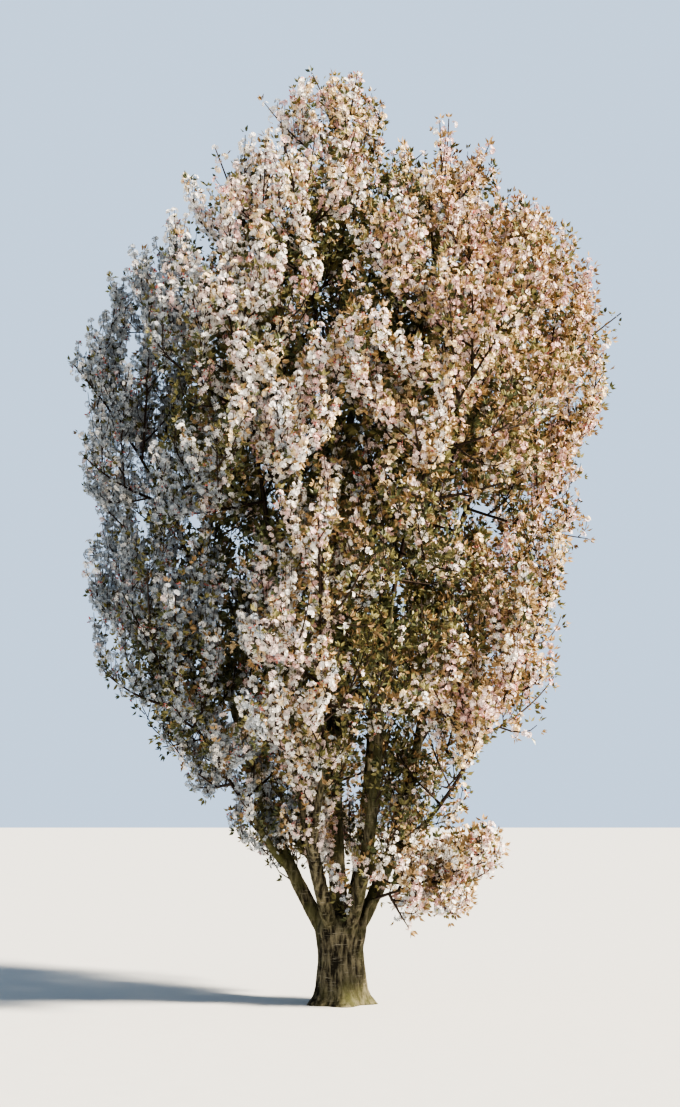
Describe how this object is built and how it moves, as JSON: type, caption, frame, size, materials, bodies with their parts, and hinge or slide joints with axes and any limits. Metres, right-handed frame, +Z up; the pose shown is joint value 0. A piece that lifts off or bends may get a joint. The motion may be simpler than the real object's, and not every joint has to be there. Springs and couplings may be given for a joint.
{
  "type": "flowering cherry tree",
  "caption": "Upright flowering cherry tree in full blossom with bronze young leaves, a short trunk that forks low and a full oval crown.",
  "frame": {"origin": "middle of the flat cut under the trunk, at ground level", "axes": "+Z up along the trunk, -Y towards the side that the picture shows, +X to the right in it"},
  "size_m": [4.0695, 3.7451, 6.91],
  "materials": {
    "bark": "rough fissured bark, dark olive brown",
    "blossom": "thin matt petals, white to pale pink",
    "young_leaf": "thin satin leaves, bronze to olive green"
  },
  "bodies": {
    "root": {"trunk": "bark", "leader": "bark", "bough_1": "bark", "bough_2": "bark", "bough_3": "bark", "bough_4": "bark", "bough_5": "bark", "bough_6": "bark", "side_bough_1": "bark", "side_bough_2": "bark", "side_bough_3": "bark", "side_bough_4": "bark", "side_bough_5": "bark", "side_bough_6": "bark", "upper_bough_1": "bark", "upper_bough_2": "bark", "upper_bough_3": "bark", "upper_bough_4": "bark", "upper_bough_5": "bark", "low_bough": "bark", "lower_blossom_1": "blossom", "lower_blossom_2": "blossom", "lower_blossom_3": "blossom", "lower_blossom_4": "blossom", "lower_blossom_5": "blossom", "lower_blossom_6": "blossom", "middle_blossom_1": "blossom", "middle_blossom_2": "blossom", "middle_blossom_3": "blossom", "middle_blossom_4": "blossom", "middle_blossom_5": "blossom", "middle_blossom_6": "blossom", "upper_blossom_1": "blossom", "upper_blossom_2": "blossom", "upper_blossom_3": "blossom", "upper_blossom_4": "blossom", "upper_blossom_5": "blossom", "top_blossom": "blossom", "low_blossom": "blossom"}
  },
  "joints": []
}
